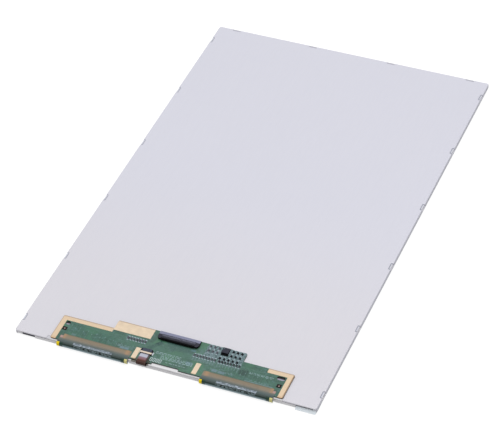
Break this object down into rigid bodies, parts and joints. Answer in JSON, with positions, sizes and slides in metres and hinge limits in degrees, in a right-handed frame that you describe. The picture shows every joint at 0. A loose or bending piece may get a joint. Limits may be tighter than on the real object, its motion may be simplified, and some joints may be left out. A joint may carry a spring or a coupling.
{
  "type": "tablet lcd screen",
  "caption": "Tablet display module lying face down: folded metal back, white mould frame, and a driver board with flip-lock connectors whose flex films wrap round one short edge.",
  "frame": {"origin": "centre of the screen's front face, on the surface that the module lies on", "axes": "+X along the short edge, +Y along the long edge away from the driver board, +Z out of the back"},
  "size_m": [0.142, 0.231, 0.0038],
  "materials": {
    "plate_metal": "matte",
    "frame_plastic": "matte",
    "protective_film": "clear gloss",
    "polarizer": "satin",
    "cell_glass": "polished",
    "black_tape": "matte",
    "optical_sheet": "satin",
    "light_guide": "clear gloss",
    "reflector": "satin",
    "backlight_flex": "satin",
    "lamp_resin": "satin",
    "board_tape": "matte",
    "solder_mask": "satin",
    "gold_plating": "satin",
    "driver_film": "satin",
    "driver_silicon": "gloss",
    "panel_connector_plastic": "satin",
    "panel_lock_plastic": "satin",
    "backlight_connector_plastic": "satin",
    "black_plastic": "satin",
    "contact_plating": "satin",
    "tin_plating": "satin",
    "chip_ceramic": "matte"
  },
  "bodies": {
    "module": {"back_plate": "plate_metal", "mould_frame": "frame_plastic", "front_protective_film": "protective_film", "front_polarizer": "polarizer", "rear_polarizer": "polarizer", "colour_filter_glass": "cell_glass", "array_glass": "cell_glass", "rim_tape": "black_tape", "edge_tapes": "black_tape", "front_prism_sheet": "optical_sheet", "rear_prism_sheet": "optical_sheet", "diffuser_sheet": "optical_sheet", "light_guide_plate": "light_guide", "reflector_sheet": "reflector", "backlight_flex": "backlight_flex", "backlight_lamps": "lamp_resin", "board_tape": "board_tape", "driver_board": "solder_mask", "ground_fields": "gold_plating", "left_driver_film": "driver_film", "right_driver_film": "driver_film", "left_driver_chip": "driver_silicon", "right_driver_chip": "driver_silicon", "panel_connector_housing": "panel_connector_plastic", "panel_connector_contacts": "contact_plating", "panel_connector_tabs": "tin_plating", "backlight_connector_housing": "backlight_connector_plastic", "backlight_connector_contacts": "contact_plating", "backlight_connector_tabs": "tin_plating", "power_chip": "black_plastic", "chip_part_bodies": "chip_ceramic", "chip_part_caps": "tin_plating"},
    "panel_lock": {"panel_connector_lock": "panel_lock_plastic"},
    "backlight_lock": {"backlight_connector_lock": "black_plastic"}
  },
  "joints": [
    {"name": "panel_lock_hinge", "type": "hinge", "parent": "module", "child": "panel_lock", "pos_m": [0.00035, -0.0973, 0.00357], "axis": [-1, 0, 0], "range_deg": [0, 90]},
    {"name": "backlight_lock_hinge", "type": "hinge", "parent": "module", "child": "backlight_lock", "pos_m": [-0.01, -0.109, 0.00357], "axis": [1, 0, 0], "range_deg": [0, 90]}
  ]
}
